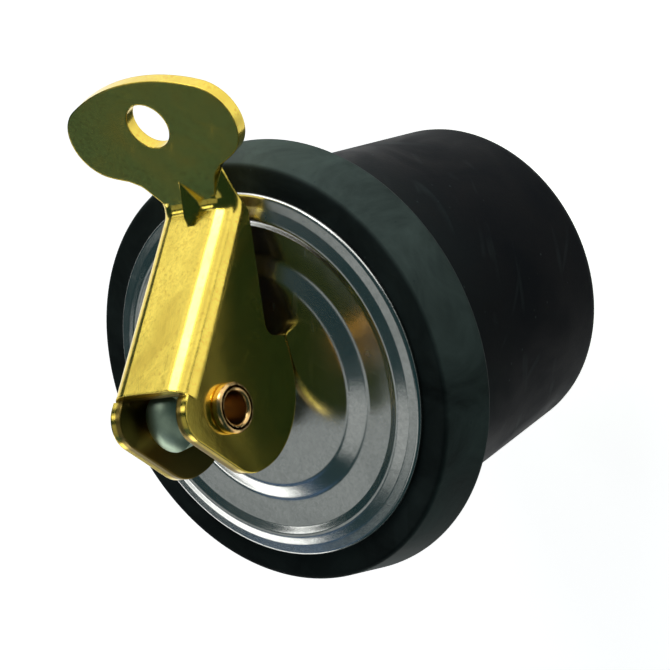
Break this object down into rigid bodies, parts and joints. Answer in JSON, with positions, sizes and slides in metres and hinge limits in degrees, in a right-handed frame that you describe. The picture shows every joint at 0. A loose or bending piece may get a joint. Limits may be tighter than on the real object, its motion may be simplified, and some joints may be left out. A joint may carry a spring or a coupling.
{
  "type": "bait well plug",
  "caption": "Rubber drain plug for a bait well, drawn tight by a folded brass cam lever over a pressed steel washer.",
  "frame": {"origin": "centre of the seat, the flat ring under the flange that lies on the mouth of the drain tube", "axes": "+Z out of the tube along the plug's axis, +X towards the thumb tab of the closed lever, +Y along the lever's rivet"},
  "size_m": [0.0385, 0.0318, 0.0407],
  "materials": {
    "black_rubber": "satin black with a blue-green sheen",
    "bright_steel": "bright plated, nearly a mirror",
    "plain_steel": "zinc plated",
    "lever_brass": "polished, bare sheet",
    "rivet_brass": "bright, bare"
  },
  "bodies": {
    "stopper": {"rubber_stopper": "black_rubber", "face_washer": "bright_steel"},
    "clamp": {"end_washer": "plain_steel"},
    "rod": {"draw_bolt": "plain_steel", "hex_nut": "plain_steel"},
    "lever": {"cam_lever": "lever_brass", "pivot_rivet": "rivet_brass"}
  },
  "joints": [
    {"name": "rod_draw", "type": "slide", "parent": "stopper", "child": "clamp", "axis": [0, 0, -1], "range_m": [0, 0.0024]},
    {"name": "rod_swivel", "type": "hinge", "parent": "clamp", "child": "rod", "pos_m": [0, 0, -0.0208], "axis": [0, 0, 1], "continuous": true},
    {"name": "lever_hinge", "type": "hinge", "parent": "rod", "child": "lever", "pos_m": [0, 0, 0.01255], "axis": [0, -1, 0], "range_deg": [0, 90]}
  ],
  "couplings": [
    {"joint": "lever_hinge", "follows": "rod_draw", "rad_per_m": 654.49}
  ]
}
